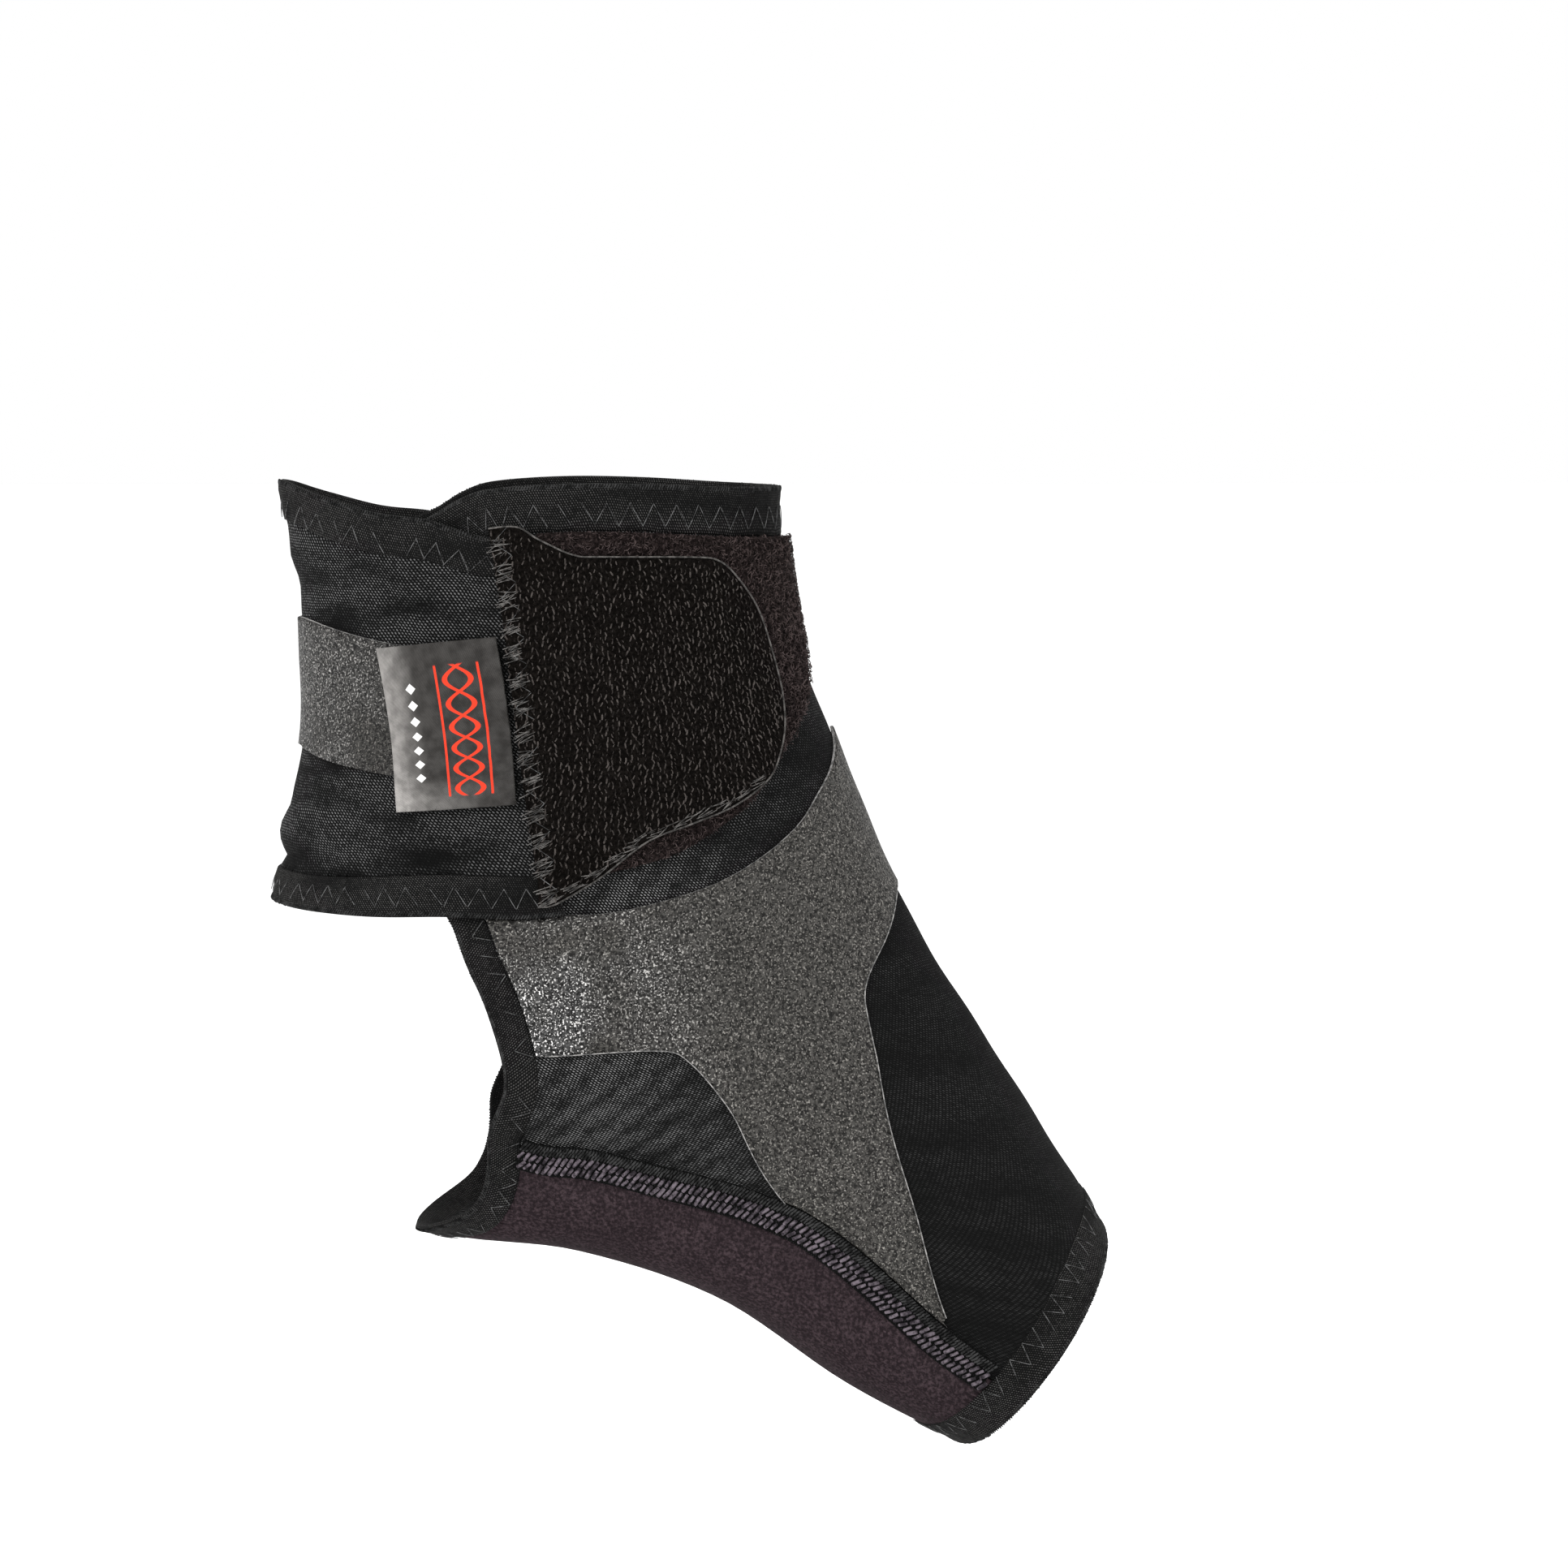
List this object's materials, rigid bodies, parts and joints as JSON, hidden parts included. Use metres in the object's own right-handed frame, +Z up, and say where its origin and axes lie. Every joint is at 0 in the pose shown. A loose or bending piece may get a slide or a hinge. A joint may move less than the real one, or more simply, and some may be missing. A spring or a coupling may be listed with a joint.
{
  "type": "ankle brace",
  "caption": "Worn-shape elastic knit ankle brace for a left foot, open at heel and toes, with a wide strap round the back of the ankle, hook tab closure and printed grip film.",
  "frame": {"origin": "middle of the ankle collar, on the axis of the leg, halfway between the front and back of the collar", "axes": "+X towards the toes, +Y towards the outer side of the left foot, +Z up along the leg; the inner side of the foot is at -Y"},
  "size_m": [0.1642, 0.085, 0.1871],
  "materials": {
    "knit": "fine ribbed elastic knit, matt",
    "bound_knit": "turned elastic edge with zigzag thread",
    "sole_knit": "smooth dense knit, purple black",
    "seam_thread": "raised flat seam of thread rows",
    "grip_film": "thin pebbled print with fine glitter",
    "loop_pile": "brushed loop pile",
    "hook_pile": "dark brown black hook pile",
    "label_satin": "woven satin ribbon"
  },
  "bodies": {
    "root": {"sleeve": "knit", "sleeve_top_hem": "bound_knit", "toe_hem": "bound_knit", "heel_binding": "bound_knit", "sole_panel": "sole_knit", "medial_sole_seam": "seam_thread", "lateral_sole_seam": "seam_thread", "rear_strap": "knit", "strap_top_hem": "bound_knit", "strap_bottom_hem": "bound_knit", "foot_grip_film": "grip_film", "strap_grip_film": "grip_film", "loop_panel": "loop_pile", "hook_tab": "hook_pile", "side_label": "label_satin"}
  },
  "joints": []
}
